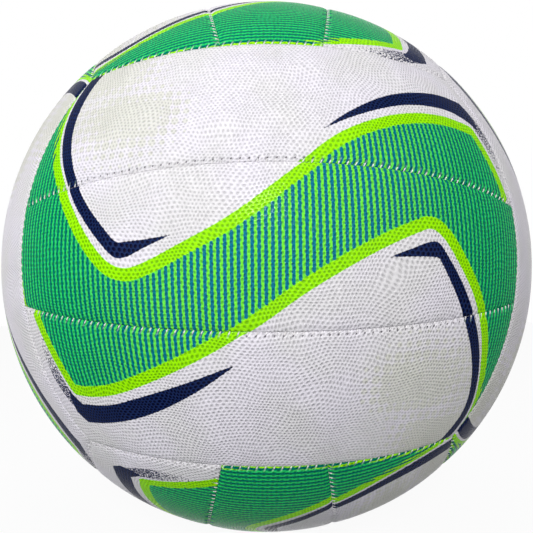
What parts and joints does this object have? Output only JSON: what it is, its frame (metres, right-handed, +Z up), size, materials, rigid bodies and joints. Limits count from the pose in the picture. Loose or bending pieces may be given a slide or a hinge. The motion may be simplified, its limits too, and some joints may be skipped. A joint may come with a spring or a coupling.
{
  "type": "netball",
  "caption": "Round stitched ball: pebbled rubber strips in parallel groups, cloth linings, sewn seams, an inner bladder and a flush needle valve.",
  "frame": {"origin": "centre of the ball", "axes": "-Y out of the middle of the front face, whose strips run along X; +Z up and out through the valve in the middle of the top face"},
  "size_m": [0.2228, 0.2228, 0.2226],
  "materials": {
    "cover_rubber": "matt, pebble grained, printed",
    "lining_cloth": "woven plies bonded with latex",
    "seam_thread": "waxed twisted thread",
    "bladder_rubber": "smooth, dusted",
    "valve_rubber": "smooth matt",
    "valve_core_rubber": "smooth matt"
  },
  "bodies": {
    "root": {"front_upper_panel": "cover_rubber", "front_centre_panel": "cover_rubber", "front_lower_panel": "cover_rubber", "right_front_panel": "cover_rubber", "right_centre_panel": "cover_rubber", "right_back_panel": "cover_rubber", "top_right_panel": "cover_rubber", "top_centre_panel": "cover_rubber", "top_left_panel": "cover_rubber", "back_upper_panel": "cover_rubber", "back_centre_panel": "cover_rubber", "back_lower_panel": "cover_rubber", "left_front_panel": "cover_rubber", "left_centre_panel": "cover_rubber", "left_back_panel": "cover_rubber", "bottom_right_panel": "cover_rubber", "bottom_centre_panel": "cover_rubber", "bottom_left_panel": "cover_rubber", "front_upper_lining": "lining_cloth", "front_centre_lining": "lining_cloth", "front_lower_lining": "lining_cloth", "right_front_lining": "lining_cloth", "right_centre_lining": "lining_cloth", "right_back_lining": "lining_cloth", "top_right_lining": "lining_cloth", "top_centre_lining": "lining_cloth", "top_left_lining": "lining_cloth", "back_upper_lining": "lining_cloth", "back_centre_lining": "lining_cloth", "back_lower_lining": "lining_cloth", "left_front_lining": "lining_cloth", "left_centre_lining": "lining_cloth", "left_back_lining": "lining_cloth", "bottom_right_lining": "lining_cloth", "bottom_centre_lining": "lining_cloth", "bottom_left_lining": "lining_cloth", "front_seam_thread": "seam_thread", "right_seam_thread": "seam_thread", "top_seam_thread": "seam_thread", "back_seam_thread": "seam_thread", "left_seam_thread": "seam_thread", "bottom_seam_thread": "seam_thread", "bladder": "bladder_rubber", "valve_boot": "valve_rubber", "valve_core": "valve_core_rubber", "valve_patch": "lining_cloth"}
  },
  "joints": []
}
